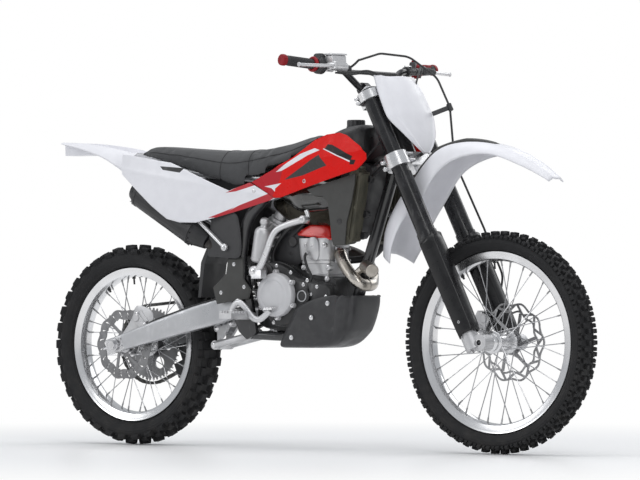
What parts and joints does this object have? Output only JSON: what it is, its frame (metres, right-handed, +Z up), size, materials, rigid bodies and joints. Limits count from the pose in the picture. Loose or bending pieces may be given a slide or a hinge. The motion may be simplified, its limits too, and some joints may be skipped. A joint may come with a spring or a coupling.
{
  "type": "motocross motorcycle",
  "caption": "Full-size off-road motorcycle with long forks, wire wheels, knobbed tyres, narrow seat and high fenders; steering and wheels turn.",
  "frame": {"origin": "on top of the seat at the rider's place, on the bike's middle plane", "axes": "+X forward along the bike, +Y to the rider's left, +Z up with the bike upright on both wheels"},
  "size_m": [2.164, 0.8206, 1.27],
  "materials": {
    "fork_tubes": "gloss black anodised",
    "fork_feet": "cast",
    "fork_guards": "moulded",
    "front_axle": "turned",
    "triple_clamps": "machined",
    "handlebar": "satin black",
    "grips": "matt with red ends",
    "hand_controls": "cast, with black perch",
    "number_plate": "white, blank",
    "front_fender": "white",
    "front_caliper": "cast",
    "front_brake_hose": "matt",
    "front_tyre": "matt, knobbed",
    "front_rim": "polished",
    "front_hub": "turned, with steel spokes",
    "front_brake_disc": "ground",
    "rear_tyre": "matt, knobbed",
    "rear_rim": "polished",
    "rear_hub": "turned, with steel spokes",
    "rear_brake_disc": "dark",
    "rear_sprocket": "dark",
    "main_frame": "satin black",
    "subframe": "brushed",
    "swingarm": "brushed",
    "rear_axle": "turned",
    "shock_absorber": "satin with a steel spring",
    "shock_linkage": "forged",
    "drive_chain": "oiled black",
    "chain_guide": "moulded",
    "rear_caliper": "cast",
    "rear_brake_hose": "matt",
    "crankcase": "black cast",
    "engine_covers": "satin cast",
    "cylinder": "cast",
    "head_cover": "red",
    "exhaust_header": "heat tinted",
    "muffler": "satin black",
    "radiators": "dark finned",
    "radiator_guards": "grey",
    "fuel_tank": "dark",
    "shrouds": "red with white stripes",
    "seat": "matt covered foam",
    "rear_fender": "white",
    "side_panels": "white with red stripes",
    "airbox": "black",
    "skid_plate": "dark",
    "footpegs": "cast",
    "foot_levers": "forged",
    "frame_guards": "black",
    "control_cables": "matt"
  },
  "bodies": {
    "chassis": {"main_frame": "main_frame", "subframe": "subframe", "swingarm": "swingarm", "rear_axle": "rear_axle", "shock_absorber": "shock_absorber", "shock_linkage": "shock_linkage", "drive_chain": "drive_chain", "chain_guide": "chain_guide", "rear_caliper": "rear_caliper", "rear_brake_hose": "rear_brake_hose", "crankcase": "crankcase", "engine_covers": "engine_covers", "cylinder": "cylinder", "head_cover": "head_cover", "exhaust_header": "exhaust_header", "muffler": "muffler", "radiators": "radiators", "radiator_guards": "radiator_guards", "fuel_tank": "fuel_tank", "shrouds": "shrouds", "seat": "seat", "rear_fender": "rear_fender", "side_panels": "side_panels", "airbox": "airbox", "skid_plate": "skid_plate", "footpegs": "footpegs", "foot_levers": "foot_levers", "frame_guards": "frame_guards", "control_cables": "control_cables"},
    "steering": {"fork_tubes": "fork_tubes", "fork_feet": "fork_feet", "fork_guards": "fork_guards", "front_axle": "front_axle", "triple_clamps": "triple_clamps", "handlebar": "handlebar", "grips": "grips", "hand_controls": "hand_controls", "number_plate": "number_plate", "front_fender": "front_fender", "front_caliper": "front_caliper", "front_brake_hose": "front_brake_hose"},
    "front_wheel": {"front_tyre": "front_tyre", "front_rim": "front_rim", "front_hub": "front_hub", "front_brake_disc": "front_brake_disc"},
    "rear_wheel": {"rear_tyre": "rear_tyre", "rear_rim": "rear_rim", "rear_hub": "rear_hub", "rear_brake_disc": "rear_brake_disc", "rear_sprocket": "rear_sprocket"}
  },
  "joints": [
    {"name": "steering_turn", "type": "hinge", "parent": "chassis", "child": "steering", "pos_m": [0.5949, 0, -0.05814], "axis": [-0.454, 0, 0.891], "range_deg": [-42, 42], "deforming": ["control_cables"]},
    {"name": "front_wheel_spin", "type": "hinge", "parent": "steering", "child": "front_wheel", "pos_m": [0.94083, 0, -0.61812], "axis": [0, 1, 0], "continuous": true},
    {"name": "rear_wheel_spin", "type": "hinge", "parent": "chassis", "child": "rear_wheel", "pos_m": [-0.53917, 0, -0.63412], "axis": [0, 1, 0], "continuous": true}
  ]
}
